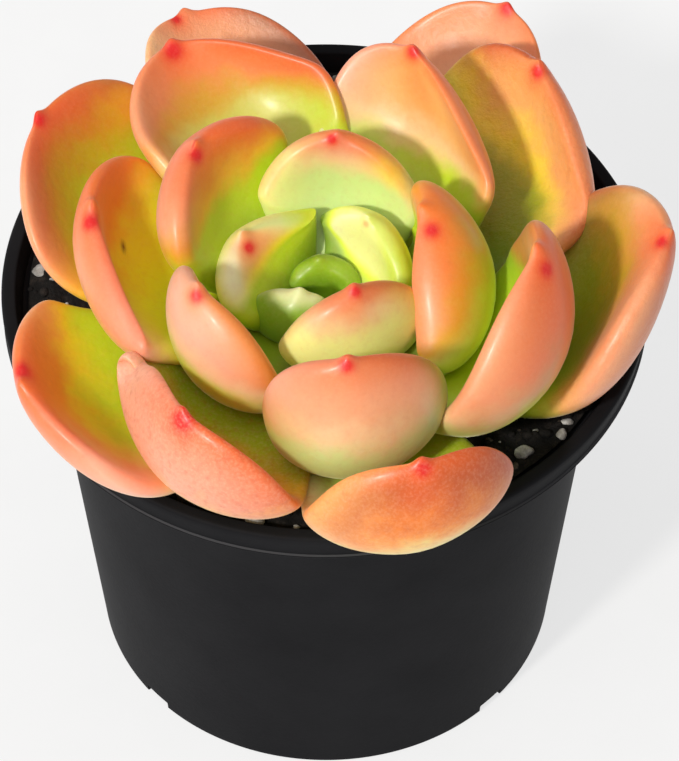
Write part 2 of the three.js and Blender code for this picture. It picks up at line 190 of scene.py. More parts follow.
# Leaves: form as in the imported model, with many more stations and sides. Stations lie closer together towards
# the tip. The trough starts shallow at the root, and the keel starts at a place along the leaf. Powers shape
# how the width swells from the root, and how the thickness falls off from the middle to the tip.
LEAF_SIDES = 96
LEAF_STATIONS = 84
STATION_POWER = 1.8
LAST_STATION = 0.9996
MIDRIB_STEPS = 120
SECTION_POWER = 2.4
SWELL_POWER = 1.5
THICK_AT_ROOT = 0.5
THICK_POWERS = (3, 2.2)
CURL_AT_ROOT = 0.35
CURL_FULL_AT = 0.45
KEEL = 0.12
KEEL_BREADTH = 0.25
KEEL_START = 0.45
KEEL_RISE = 0.4
TIP_POINT = 1.1
TIP_BREADTH = 1.3
LEAF_DEFAULTS = dict(roll=0, twist=0, sway=0, base=0.25, widest=0.64, end=2.1)
LEAVES = [
    dict(az=73, z=85.4, root=0.5, length=8.5, pitch=(49, 105), turn=(0.1, 0.85), half=6.5, thick=4.5,
         cup=66, roll=4, twist=15, sway=-1, base=0.3, widest=0.62),
    dict(az=252, z=85.3, root=1.3, length=16.5, pitch=(14, 105), turn=(0.2, 0.8), half=7, thick=6,
         cup=60, roll=5, twist=4, sway=-1.5, base=0.3, widest=0.62),
    dict(az=34, z=84.4, root=2, length=19, pitch=(31, 110), turn=(0.25, 1), half=11, thick=6,
         cup=41, twist=10, sway=-1.6, base=0.28, widest=0.62),
    dict(az=165, z=83.8, root=1.5, length=18, pitch=(40, 82), turn=(0.4, 1), half=13.2, thick=7.5,
         cup=62, roll=-11, twist=-13, base=0.38, widest=0.6, end=2.2),
    dict(az=292, z=83.3, root=3.3, length=31, pitch=(23, 102), turn=(0.25, 0.8), half=13.2, thick=7.5,
         cup=38, roll=-7, twist=11, sway=0.5, base=0.26, end=1.7),
    dict(az=79, z=83, root=2.4, length=30.5, pitch=(29, 99), turn=(0.25, 0.95), half=15, thick=6.8,
         cup=57, roll=4, sway=-1.3, widest=0.58),
    dict(az=3, z=82.7, root=3.3, length=40.5, pitch=(7, 128), turn=(0.2, 0.9), half=17.5, thick=9,
         cup=57, roll=4, twist=-8, sway=-6, base=0.34, widest=0.66),
    dict(az=223, z=83.2, root=4.4, length=41, pitch=(6, 102), turn=(0.12, 0.94), half=13.8, thick=7.6,
         cup=52, roll=-2, twist=-7, sway=3.6, base=0.3, widest=0.67, end=2.2),
    dict(az=147, z=82.3, root=3.6, length=35.5, pitch=(30, 92), turn=(0.3, 0.94), half=17.6, thick=8.6,
         cup=49, roll=4, twist=-2, base=0.2, widest=0.67, end=2.3),
    dict(az=278, z=82.4, root=3.8, length=57, pitch=(8, 98), turn=(0.4, 0.78), half=16.6, thick=8,
         cup=58, roll=17, twist=-18, sway=2.8, base=0.22, widest=0.75, end=1.8),
    dict(az=176, z=80.5, root=5, length=44, pitch=(18, 99), turn=(0.43, 1.05), half=22, thick=6.5,
         cup=43, roll=1, twist=6, sway=4.3, base=0.2, widest=0.68, end=2),
    dict(az=339, z=80.2, root=5.9, length=58.5, pitch=(6, 110), turn=(0.25, 0.95), half=21.2, thick=7.5,
         cup=61, roll=-3, twist=10, sway=-5.8, base=0.36),
    dict(az=66, z=80.8, root=2.8, length=46.5, pitch=(15, 79), turn=(0.3, 1.05), half=19, thick=5.4,
         cup=59, twist=-17, sway=-6.6, base=0.3, widest=0.58),
    dict(az=243, z=79.6, root=4.3, length=59, pitch=(8, 95), turn=(0.5, 0.9), half=21.2, thick=6.3,
         cup=51, roll=-2, twist=-24, sway=-2, base=0.2, widest=0.72, end=2),
    dict(az=121, z=80.4, root=4, length=48.5, pitch=(17, 63), turn=(0.5, 1.05), half=21.6, thick=5.7,
         cup=75, roll=6, twist=-12, sway=-3, base=0.27, widest=0.62, end=2),
    dict(az=289, z=79.9, root=2.9, length=66.5, pitch=(-1, 105), turn=(0.5, 0.95), half=18.4, thick=6.2,
         cup=45, twist=-4, sway=-1, base=0.2, widest=0.75, end=2.5),
    dict(az=46, z=79.5, root=4.7, length=56, pitch=(6, 82), turn=(0.52, 1.02), half=20.5, thick=7.8,
         cup=36, roll=7, twist=-20, sway=-5.7, base=0.24, widest=0.63, end=2.3),
    dict(az=211, z=80.2, root=3.3, length=58.5, pitch=(-2, 64), turn=(0.42, 0.96), half=21, thick=6.9,
         cup=37, roll=-2, twist=-9, sway=1.8, base=0.2, widest=0.72, end=2),
    dict(az=150, z=80, root=3.4, length=56, pitch=(0, 59), turn=(0.26, 1), half=21, thick=5.5,
         cup=31, twist=5, sway=2, base=0.24, widest=0.68, end=2.3),
    dict(az=359, z=80, root=3.8, length=65.5, pitch=(-8, 67), turn=(0.3, 0.87), half=20.8, thick=8.8,
         cup=44, roll=13, twist=-14, sway=-2.2, base=0.24, widest=0.67),
    dict(az=112, z=78.8, root=3.7, length=57.5, pitch=(6, 36), turn=(0.58, 0.92), half=16.7, thick=4.7,
         cup=53, roll=3, twist=4, sway=-3.2, base=0.26, widest=0.63, end=2.5),
    dict(az=61, z=79.2, root=3.9, length=66, pitch=(-2, 62), turn=(0.55, 1), half=16.7, thick=4.6,
         cup=42, roll=-4, twist=-4, sway=1.9, base=0.26, end=2.3),
]

# Colours of the leaves as seen, 0 to 255
PALETTE = {
    "fern": (98, 138, 16), "moss": (138, 176, 36), "olive": (154, 162, 14), "lime": (196, 220, 38),
    "bright": (234, 250, 54), "lemon": (252, 246, 36), "mint": (212, 234, 148), "butter": (250, 250, 158),
    "gold": (250, 224, 46), "ochre": (214, 166, 34), "amber": (252, 190, 52), "orange": (252, 146, 44),
    "flame": (252, 108, 46), "coral": (236, 112, 54), "salmon": (244, 148, 90), "apricot": (250, 182, 104),
    "peach": (246, 174, 126), "rose": (248, 162, 130), "pink": (248, 188, 158), "cream": (250, 212, 156),
    "ivory": (252, 248, 196), "pear": (206, 204, 90), "tan": (200, 136, 60), "mauve": (164, 104, 70),
    "rust": (196, 86, 28),
}
RED = (228, 12, 22)
SCAR = (104, 58, 16)
PALE_FLECK = (255, 226, 190)
RED_FLECK = (196, 70, 40)

# Middle of each side of a leaf, as an angle round its section
SIDES = {"left": 0, "inner": 90, "right": 180, "outer": 270}

# Where the colour of a leaf's foot fades out along it, and its strength
ROOT_FADE = (0.62, 0.3)
ROOT_STRENGTH = 0.7

# How far in from a margin the end's colour reaches, where along the leaf it sets in, and its strength there
MARGIN_REACH = 0.9
MARGIN_FADE = (0.45, 0.8)
MARGIN_STRENGTH = 0.45

# Red point: its softness and fullness, reach and strength of the glow round it, and half width in degrees and
# strength of the line below it
RED_SHARE = 0.72
RED_FULLNESS = 1.3
GLOW_REACH = 2.1
GLOW_STRENGTH = 0.9
STREAK_HALF_WIDTH = 14
STREAK_STRENGTH = 0.5

# Looks of each leaf, looking out from the stem along it. At its left margin, middle of the inner face, right
# margin and middle of the outer face: the place along the leaf where its lower colour turns to the upper one,
# both, and at times the colour passed through on the way. mid: that colour where a side names none,
# soft: half the length of the change, root: colour at the foot, tip: colour of the end, how many mm it
# reaches and its strength, spot: place of the red point (along, angle round the section), its radius in mm
# and strength, streak: length of the faint red line below it, rough: strength of the fine mottling, wet:
# strength of the wrinkles, scar: a small brown fleck (along, angle round the section, radius in mm).
LOOK_DEFAULTS = dict(mid="amber", soft=0.14, root="moss", tip=("flame", 4, 0.7), spot=(0.99, 90, 1.6, 1.0),
                     streak=0, rough=0.2, wet=0, scar=None)
LOOKS = [
    # Painted shade: this heart leaf is given darker moss and fern greens for the shade it lies in, on top of
    # its own green
    dict(left=(0.93, "moss", "fern"), inner=(0.95, "moss", "moss"), right=(0.95, "moss", "moss"),
         outer=(0.8, "fern", "fern"), mid="moss", tip=("lime", 1.5, 0.3), spot=None),
    # Painted shade and highlight: this small heart leaf is dark moss for the shade it lies in, with butter
    # along its left margin and an ivory tip standing in for the sunlight that reaches them
    dict(left=(0.93, "moss", "butter"), inner=(0.9, "moss", "moss"), right=(0.8, "moss", "fern"),
         outer=(0.93, "moss", "lime"), mid="moss", tip=("ivory", 1.4, 0.8), spot=None),
    # Painted light and shade: moss at the left margin stands in for the shade there, ivory and butter for the
    # sunlit band across the leaf
    dict(left=(0.9, "moss", "ivory"), inner=(0.45, "mint", "butter"), right=(0.62, "bright", "lime"),
         outer=(0.9, "moss", "lime"), mid="bright", tip=("butter", 2, 0.35), spot=(0.985, 92, 0.8, 0.4)),
    dict(left=(0.82, "lime", "ivory", "butter"), inner=(0.76, "lime", "apricot"),
         right=(0.84, "lime", "mint", "lime"), outer=(0.82, "lime", "butter"), mid="gold", root="fern",
         tip=("salmon", 1.5, 0.2), spot=(0.955, 84, 1.5, 1.0)),
    # Painted shade: the tan upper colour of the left side stands in for the side turned away from the key lamp
    dict(left=(0.8, "lime", "tan", "gold"), inner=(0.92, "lime", "peach"), right=(0.9, "butter", "peach"),
         outer=(0.9, "butter", "salmon"), mid="cream", root="lime", tip=("coral", 2.5, 0.8),
         spot=(0.99, 265, 1.4, 1.0), streak=5),
    dict(left=(0.93, "butter", "cream", "butter"), inner=(0.88, "mint", "pink"),
         right=(0.9, "mint", "salmon", "gold"), outer=(0.8, "lime", "amber"), mid="cream", root="mint",
         tip=("coral", 2.2, 0.8), spot=(0.992, 80, 1.4, 1.0)),
    dict(left=(0.97, "lime", "apricot"), inner=(0.8, "lime", "apricot"), right=(0.66, "butter", "peach"),
         outer=(0.84, "lime", "orange", "ochre"), tip=("flame", 5, 0.6), spot=(0.98, 242, 1.8, 1.0),
         streak=15),
    dict(left=(0.6, "cream", "orange"), inner=(0.8, "lime", "orange"), right=(0.74, "butter", "pink"),
         outer=(0.76, "lime", "pink"), mid="cream", soft=0.1, tip=("salmon", 3, 0.4),
         spot=(0.987, 283, 1.6, 1.0)),
    dict(left=(0.79, "lime", "peach", "ochre"), inner=(0.76, "lime", "orange"),
         right=(0.8, "lime", "coral"), outer=(0.55, "apricot", "pink"), soft=0.16, tip=("flame", 4, 0.8),
         spot=(0.992, 75, 1.9, 1.0)),
    # Painted shade: the tan middle colours of both margins stand in for the shade over them
    dict(left=(0.9, "olive", "coral", "tan"), inner=(0.8, "lime", "orange"),
         right=(0.8, "olive", "pink", "tan"), outer=(0.77, "mint", "peach"), mid="cream", root="lime",
         soft=0.09, tip=("coral", 6, 0.8), spot=(0.99, 268, 1.7, 1.0), streak=7),
    dict(left=(0.56, "gold", "rose", "pink"), inner=(0.7, "lemon", "orange", "gold"),
         right=(0.7, "olive", "orange", "ochre"), outer=(0.72, "cream", "peach"), soft=0.18, root="lime",
         tip=("flame", 6, 0.8), spot=(0.993, 310, 2.2, 1.0), scar=(0.713, 99, 0.55)),
    dict(left=(0.75, "moss", "tan"), inner=(0.85, "lime", "apricot"), right=(0.6, "mint", "peach", "cream"),
         outer=(0.7, "lime", "coral"), mid="tan", root="lime", tip=("flame", 3, 0.5),
         spot=(0.965, 264, 1.8, 1.0), streak=7),
    dict(left=(0.74, "mint", "pink"), inner=(0.7, "lime", "apricot", "cream"),
         right=(0.52, "lime", "salmon", "apricot"), outer=(0.5, "lime", "orange"), mid="cream",
         soft=0.12, tip=("flame", 3.5, 0.6), spot=(0.99, 92, 1.7, 1.0), streak=12),
    dict(left=(0.66, "olive", "coral"), inner=(0.6, "lime", "flame", "orange"),
         right=(0.54, "olive", "pink", "peach"), outer=(0.66, "olive", "rose"), tip=("flame", 5, 0.7),
         spot=(0.987, 279, 2.9, 1.0), rough=0.8),
    dict(left=(0.64, "cream", "peach", "apricot"), inner=(0.8, "pear", "salmon", "ochre"),
         right=(0.52, "lime", "coral", "ochre"), outer=(0.5, "lime", "salmon"), root="lime", soft=0.13,
         tip=("flame", 5, 0.6), spot=(0.978, 88, 2.4, 1.0)),
    # Partly painted highlight: the ivory and cream of the right side stand in for the pale gloss along it as
    # well as its own pale colour
    dict(left=(0.7, "olive", "rust"), inner=(0.7, "lime", "coral"),
         right=(0.6, "ivory", "apricot", "cream"), outer=(0.83, "butter", "rust", "orange"), mid="tan",
         tip=("flame", 3, 0.6), spot=(0.985, 270, 1.8, 1.0), streak=8, rough=0.55),
    dict(left=(0.84, "olive", "rust"), inner=(0.74, "olive", "apricot"),
         right=(0.42, "olive", "salmon", "apricot"), outer=(0.5, "lime", "coral"), mid="gold", root="fern",
         tip=("coral", 3, 0.6), spot=(0.992, 96, 1.7, 1.0), wet=0.8),
    dict(left=(0.6, "gold", "pink", "cream"), inner=(0.74, "lime", "orange", "gold"),
         right=(0.7, "lime", "apricot"), outer=(0.5, "lime", "salmon"), mid="gold", soft=0.17,
         root="olive", tip=("flame", 6, 0.9), spot=(0.993, 122, 2.5, 1.0)),
    dict(left=(0.62, "amber", "peach", "apricot"), inner=(0.84, "lime", "coral", "ochre"),
         right=(0.76, "olive", "tan"), outer=(0.4, "lime", "pink"), soft=0.16, root="lime",
         tip=("flame", 4, 0.7), spot=(0.994, 84, 1.8, 1.0)),
    # Painted shade: the mauve lower colour of the left side stands in for the shade on it
    dict(left=(0.9, "mauve", "cream"), inner=(0.84, "olive", "salmon", "ochre"),
         right=(0.6, "lime", "peach", "apricot"), outer=(0.6, "olive", "rust"), mid="tan", root="olive",
         tip=("flame", 3, 0.6), spot=(0.993, 111, 1.6, 1.0), wet=0.5),
    # Painted shade: the tan and mauve of the right side stand in for the shade cast on it
    dict(left=(0.4, "amber", "cream"), inner=(0.4, "amber", "peach"), right=(0.5, "tan", "mauve"),
         outer=(0.4, "amber", "pink"), tip=("flame", 2.5, 0.7), spot=(0.99, 69, 1.4, 1.0), wet=0.6),
    dict(left=(0.4, "amber", "salmon"), inner=(0.7, "amber", "peach"), right=(0.5, "amber", "salmon"),
         outer=(0.4, "amber", "pink"), tip=("coral", 3, 0.6), spot=(0.99, 92, 1.7, 1.0), wet=0.2),
]

scene = bpy.context.scene


def smoothstep(low, high, value):
    t = np.clip((value - low) / (high - low), 0, 1)
    return t * t * (3 - 2 * t)


def signed_power(value, exponent):
    return np.sign(value) * np.abs(value) ** exponent


def mesh_piece(name, points_mm, faces, replaces=(), attributes=None):
    """A mesh from points in mm, riding on the part's one body."""
    mesh = bpy.data.meshes.new(name)
    mesh.from_pydata((np.asarray(points_mm) * MM).tolist(), [], faces)
    mesh.validate()
    mesh.update()
    mesh.polygons.foreach_set("use_smooth", [True] * len(mesh.polygons))
    for key, values in (attributes or {}).items():
        values = np.asarray(values, np.float32)
        if values.shape[1] == 1:
            mesh.attributes.new(key, "FLOAT", "POINT").data.foreach_set("value", values.ravel())
        else:
            colours = np.concatenate([values, np.ones((len(values), 1), np.float32)], 1)
            mesh.attributes.new(key, "FLOAT_COLOR", "POINT").data.foreach_set("color", colours.ravel())
    piece = bpy.data.objects.new(name, mesh)
    scene.collection.objects.link(piece)
    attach(piece, "root")
    if replaces:
        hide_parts(*replaces)
    return piece


def ring_faces(rings, sides):
    """Faces of a closed skin: a first point, rings of points one after another, and a last point."""
    faces = []
    last = 1 + rings * sides
    for k in range(sides):
        j = (k + 1) % sides
        faces.append((0, 1 + j, 1 + k))
        for i in range(rings - 1):
            a, b = 1 + i * sides + k, 1 + i * sides + j
            faces.append((a, b, b + sides, a + sides))
        top = last - sides
        faces.append((top + k, top + j, last))
    return faces


class Draw:
    """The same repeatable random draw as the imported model's potting mix."""

    FACTOR = 16807
    MODULUS = 2147483647

    def __init__(self, seed):
        self.state = seed

    def __call__(self):
        self.state = (self.state * self.FACTOR) % self.MODULUS
        return self.state / self.MODULUS


class Nodes:
    """Short way to lay out a material's nodes."""

    def __init__(self, name):
        self.material = bpy.data.materials.new(name)
        self.material.use_nodes = True
        self.tree = self.material.node_tree
        self.shader = self.tree.nodes["Principled BSDF"]

    def add(self, kind, settings=None, **inputs):
        node = self.tree.nodes.new(kind)
        for key, value in (settings or {}).items():
            setattr(node, key, value)
        for key, value in inputs.items():
            self.put(node, key.replace("_", " "), value)
        return node

    def put(self, node, socket, value):
        target = node.inputs[int(socket)] if socket.isdigit() else node.inputs[socket]
        if isinstance(value, bpy.types.NodeSocket):
            self.tree.links.new(value, target)
        else:
            target.default_value = value

    def field(self, name):
        return self.add("ShaderNodeAttribute", {"attribute_name": name}).outputs["Fac"]

    def colour(self, name):
        return self.add("ShaderNodeAttribute", {"attribute_name": name}).outputs["Color"]

    def math(self, operation, a, b=0.0, clamp=False):
        node = self.add("ShaderNodeMath", {"operation": operation, "use_clamp": clamp})
        self.put(node, "0", a)
        self.put(node, "1", b)
        return node.outputs[0]

    def mix(self, share, a, b):
        node = self.add("ShaderNodeMix", {"data_type": "RGBA"})
        self.put(node, "0", share)
        self.put(node, "6", a)
        self.put(node, "7", b)
        return node.outputs[2]

    def ramp(self, share, stops):
        node = self.add("ShaderNodeValToRGB")
        elements = node.color_ramp.elements
        while len(elements) < len(stops):
            elements.new(0.5)
        for element, (place, colour) in zip(elements, stops):
            element.position = place
            element.color = (*colour, 1)
        self.put(node, "0", share)
        return node.outputs["Color"]

    def remap(self, value, settings=None, **ends):
        return self.add("ShaderNodeMapRange", settings, Value=value, **ends).outputs[0]

    def noise(self, scale, detail=3.0, roughness=0.55):
        node = self.add("ShaderNodeTexNoise", None, Scale=scale, Detail=detail, Roughness=roughness)
        self.tree.links.new(self.place(), node.inputs["Vector"])
        return node.outputs["Fac"]

    def place(self):
        if not hasattr(self, "coordinates"):
            self.coordinates = self.add("ShaderNodeTexCoord")
        return self.coordinates.outputs["Object"]

    def bump(self, height, strength, distance, below=None):
        node = self.add("ShaderNodeBump", None, Strength=strength, Distance=distance, Height=height)
        if below is not None:
            self.tree.links.new(below, node.inputs["Normal"])
        return node.outputs["Normal"]

    def finish(self, **sockets):
        for key, value in sockets.items():
            self.put(self.shader, key.replace("_", " "), value)
        return self.material


def srgb(red, green, blue):
    """Colour as seen, 0 to 255, to the linear values that Blender mixes."""
    seen = np.array([red, green, blue]) / 255
    linear = np.where(seen <= 0.04045, seen / 12.92, ((seen + 0.055) / 1.055) ** 2.4)
    return tuple(float(v) for v in linear)


def add_camera():
    data = bpy.data.cameras.new("camera")
    data.sensor_width = SENSOR
    data.lens = SENSOR * FOCAL_PIXELS / max(FRAME_WIDTH, FRAME_HEIGHT)
    data.clip_start, data.clip_end = CLIP_METRES
    camera = bpy.data.objects.new("camera", data)
    elevation = math.radians(CAMERA_ELEVATION)
    back = Vector((0, -math.cos(elevation), math.sin(elevation)))
    camera.location = (Vector(CAMERA_TARGET) + CAMERA_DISTANCE * back) * MM
    camera.rotation_mode = "QUATERNION"
    camera.rotation_quaternion = (-back).to_track_quat("-Z", "Y")
    scene.collection.objects.link(camera)
    scene.camera = camera


def add_sun(name, azimuth, elevation, strength, angle, colour):
    data = bpy.data.lights.new(name, "SUN")
    data.energy = strength
    data.angle = math.radians(angle)
    data.color = colour
    light = bpy.data.objects.new(name, data)
    a, e = math.radians(azimuth), math.radians(elevation)
    source = Vector((math.cos(a) * math.cos(e), math.sin(a) * math.cos(e), math.sin(e)))
    light.rotation_mode = "QUATERNION"
    light.rotation_quaternion = (-source).to_track_quat("-Z", "Y")
    light.location = source * LAMP_METRES
    scene.collection.objects.link(light)


def add_stage():
    world = bpy.data.worlds.new("studio")
    world.use_nodes = True
    world.node_tree.nodes["Background"].inputs["Color"].default_value = (1, 1, 1, 1)
    world.node_tree.nodes["Background"].inputs["Strength"].default_value = WORLD_STRENGTH
    scene.world = world
    n = Nodes("floor")
    dark, light = ((grey, grey, grey) for grey in FLOOR_GREYS)
    colour = n.ramp(n.noise(scale=40.0, detail=4.0), [(0.3, dark), (0.7, light)])
    n.finish(Base_Color=colour, Roughness=0.9, Specular_IOR_Level=0.0,
             Emission_Color=(1, 1, 1, 1), Emission_Strength=FLOOR_GLOW)
    mesh = bpy.data.meshes.new("floor")
    reach = FLOOR_REACH_METRES
    mesh.from_pydata([(-reach, -reach, 0), (reach, -reach, 0), (reach, reach, 0), (-reach, reach, 0)],
                     [], [(0, 1, 2, 3)])
    floor = bpy.data.objects.new("floor", mesh)
    floor.location.z = -FLOOR_DROP_METRES
    floor.data.materials.append(n.material)
    scene.collection.objects.link(floor)


def arc(centre, radius, start, stop, steps):
    """Points of a rounded edge in the pot's profile."""
    return [(centre[0] + radius * math.cos(math.radians(a)), centre[1] + radius * math.sin(math.radians(a)))
            for a in np.linspace(start, stop, steps)]


def wall_radius(z):
    """Outer radius of the pot's wall at a height below its collar."""
    return BASE_RADIUS + (WALL_TOP_RADIUS - BASE_RADIUS) * z / COLLAR_FOOT


def pot_profile():
    """Half section of the pot: from the middle of its base up the outside, then down the inside."""
    inner = RIM_RADIUS - RIM_LIP
    lower = RIM_RADIUS - COLLAR_DRAFT
    top = wall_radius(COLLAR_FOOT)
    base = [(0, BASE_HOLLOW), (BASE_RADIUS - 5, BASE_HOLLOW), (BASE_RADIUS - 4, 0), (BASE_RADIUS - 0.4, 0)]
    base += arc((BASE_RADIUS - 0.3, BASE_ROUND), BASE_ROUND, -80, -6, 6)
    wall = [(wall_radius(z), z) for z in np.linspace(1, COLLAR_FOOT - 1, 24)]
    wall += arc((top + SHOULDER_ROUND, COLLAR_FOOT - SHOULDER_ROUND), SHOULDER_ROUND, 178, 92, 5)
    collar = arc((lower, COLLAR_FOOT + COLLAR_BEAD), COLLAR_BEAD, -88, 48, 9)
    collar += [(lower + COLLAR_DRAFT * t, COLLAR_FOOT + 0.7 + (COLLAR_HEIGHT - 1.5) * t)
               for t in (0, 0.25, 0.5, 0.75)]
    rim = arc((RIM_RADIUS - RIM_ROUND, POT_HEIGHT - RIM_ROUND), RIM_ROUND, 4, 88, 7)
    rim += arc((inner + LIP_ROUND, POT_HEIGHT - LIP_ROUND), LIP_ROUND, 92, 176, 6)
    inside = [(inner - 0.4, POT_HEIGHT - 1.2), (inner - 0.8, POT_HEIGHT - 2.6)]
    inside += [(inner - 1, COLLAR_FOOT + WALL), (top - WALL, COLLAR_FOOT)]
    inside += [(wall_radius(z) - WALL, z) for z in np.linspace(COLLAR_FOOT - 6, WALL + 2, 5)]
    inside += [(wall_radius(WALL) - WALL - 1, WALL), (0, WALL)]
    return base + wall + collar + rim + inside


def lathe(profile, sides):
    """Rings turned about the upright axis, with one point at each end on it."""
    points = [(0, 0, profile[0][1])]
    for r, z in profile[1:-1]:
        angle = np.linspace(0, 2 * math.pi, sides, endpoint=False)
        points += np.stack([r * np.cos(angle), r * np.sin(angle), np.full(sides, z)], 1).tolist()
    points.append((0, 0, profile[-1][1]))
    return points, ring_faces(len(profile) - 2, sides)


def cut_notches(pot):
    """Four shallow slots under the base, which let water drain."""
    half = NOTCH_WIDTH / 2
    corner = NOTCH_ROUND
    for bearing in NOTCH_ANGLES:
        mesh = bpy.data.meshes.new("notch")
        work = bmesh.new()
        outline = [(-half, -1), (half, -1)]
        outline += [(half - corner + corner * math.cos(t), NOTCH_HEIGHT - corner + corner * math.sin(t))
                    for t in np.linspace(0, math.pi / 2, NOTCH_ROUND_POINTS)]
        outline += [(-half + corner + corner * math.cos(t), NOTCH_HEIGHT - corner + corner * math.sin(t))
                    for t in np.linspace(math.pi / 2, math.pi, NOTCH_ROUND_POINTS)]
        near = [work.verts.new((BASE_RADIUS - NOTCH_DEPTH / 2, y, z)) for y, z in outline]
        far = [work.verts.new((BASE_RADIUS + NOTCH_DEPTH / 2, y, z)) for y, z in outline]
        work.faces.new(near)
        work.faces.new(far[::-1])
        for i in range(len(outline)):
            j = (i + 1) % len(outline)
            work.faces.new((near[j], near[i], far[i], far[j]))
        bmesh.ops.recalc_face_normals(work, faces=work.faces)
        work.transform(Matrix.Scale(MM, 4) @ Matrix.Rotation(math.radians(bearing), 4, "Z"))
        work.to_mesh(mesh)
        work.free()
        cutter = bpy.data.objects.new("notch", mesh)
        scene.collection.objects.link(cutter)
        cut = pot.modifiers.new("notch", "BOOLEAN")
        cut.operation = "DIFFERENCE"
        cut.solver = "EXACT"
        cut.object = cutter
        shape = bpy.data.meshes.new_from_object(pot.evaluated_get(bpy.context.evaluated_depsgraph_get()))
        pot.modifiers.clear()
        pot.data = shape
        bpy.data.objects.remove(cutter)


def plastic():
    n = Nodes("pot_plastic")
    cloud = n.noise(scale=60.0, detail=4.0)
    fine = n.noise(scale=1500.0, detail=2.0)
    dark, light = (srgb(*black) for black in PLASTIC_BLACKS)
    colour = n.ramp(cloud, [(0.3, dark), (0.7, light)])
    rough = n.remap(fine, To_Min=0.5, To_Max=0.58)
    # Painted highlight: a lighter grey ring on the collar's bead, standing in for the light the bead catches
    at = n.add("ShaderNodeSeparateXYZ", None, Vector=n.place())
    squares = [n.math("POWER", at.outputs[i], 2.0) for i in range(2)]
    radius = n.math("SQRT", n.math("ADD", *squares))
    away = n.math("ABSOLUTE", n.math("SUBTRACT", at.outputs[2], (COLLAR_FOOT + LINE_RISE) * MM))
    edge = n.math("MULTIPLY", n.math("LESS_THAN", away, LINE_HALF_WIDTH * MM),
                  n.math("GREATER_THAN", radius, (RIM_RADIUS - COLLAR_DRAFT - LINE_INSET) * MM))
    colour = n.mix(edge, colour, (*srgb(*PAINTED_HIGHLIGHT_GREY), 1))
    normal = n.bump(fine, strength=0.12, distance=0.0002)
    normal = n.bump(cloud, strength=0.1, distance=0.0006, below=normal)
    return n.finish(Base_Color=colour, Roughness=rough, Normal=normal, Specular_IOR_Level=0.03)


def add_pot():
    points, faces = lathe(pot_profile(), POT_SIDES)
    pot = mesh_piece("pot_shell", points, faces, replaces=["pot"])
    cut_notches(pot)
    pot.data.name = "pot_shell"
    pot.data.materials.clear()
    pot.data.materials.append(plastic())
    with bpy.context.temp_override(object=pot, active_object=pot, selected_editable_objects=[pot]):
        bpy.ops.object.shade_smooth_by_angle(angle=math.radians(POT_SMOOTH_ANGLE))


def soil_lumps():
    """Large lumps on the mix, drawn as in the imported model: x, y and size of each."""
    draw = Draw(SOIL_SEED)
    lumps = [(d, math.radians(b), size) for d, b, size in PERLITE]
    for _ in range(CRUMB_COUNT):
        distance = SOIL_RADIUS * math.sqrt(CRUMB_CORE_SHARE + (1 - CRUMB_CORE_SHARE) * draw())
        bearing = 2 * math.pi * draw()
        lumps.append((distance, bearing, CRUMB_SIZE[0] + (CRUMB_SIZE[1] - CRUMB_SIZE[0]) * draw()))
    return [(d * math.cos(b), d * math.sin(b), size) for d, b, size in lumps]


def soil_height(x, y, lumps):
    """Height of the mix at x and y: its crown, its swells and the highest lump there."""
    crown = SOIL_CROWN * np.cos(math.pi / 2 * np.minimum(np.hypot(x, y) / RIM_RADIUS, 1))
    swell = SWELL_HEIGHTS[0] * np.sin(SWELL_WAVES[0] * x + SWELL_START) * np.cos(SWELL_WAVES[1] * y)
    swell = swell + SWELL_HEIGHTS[1] * np.sin(SWELL_WAVES[2] * (x - y))
    lift = np.zeros_like(x)
    for lx, ly, size in lumps:
        lift = np.maximum(lift, LUMP_RISE * size * np.exp(-((x - lx) ** 2 + (y - ly) ** 2) / size ** 2))
    return POT_HEIGHT - SOIL_DROP + crown + swell + lift


def earth(name):
    n = Nodes(name)
    spots = n.noise(scale=420.0, detail=5.0, roughness=0.7)
    patches = n.noise(scale=90.0, detail=3.0)
    mixed = n.math("ADD", n.math("MULTIPLY", spots, 0.75), n.math("MULTIPLY", patches, 0.25))
    dark, mid, light = (srgb(*colour) for colour in EARTHS[name])
    colour = n.ramp(mixed, [(0.36, dark), (0.52, mid), (0.72, light)])
    pits = n.noise(scale=900.0, detail=4.0, roughness=0.7)
    normal = n.bump(pits, strength=0.7, distance=0.0006)
    return n.finish(Base_Color=colour, Roughness=0.9, Normal=normal, Specular_IOR_Level=0.3)


def ripples(seed, waves, count=9):
    """A lumpy field in space, the same for the same seed: a sum of slanted waves."""
    draw = np.random.RandomState(seed)
    ways = draw.normal(size=(count, 3)) * waves
    starts = draw.uniform(0, 2 * np.pi, count)
    return lambda p: np.sin(p @ ways.T + starts).sum(-1) / math.sqrt(count)


def ball(detail):
    """Points and faces of a unit ball of triangles."""
    work = bmesh.new()
    bmesh.ops.create_icosphere(work, subdivisions=detail, radius=1.0)
    points = np.array([v.co for v in work.verts])
    faces = np.array([[v.index for v in f.verts] for f in work.faces])
    work.free()
    return points, faces


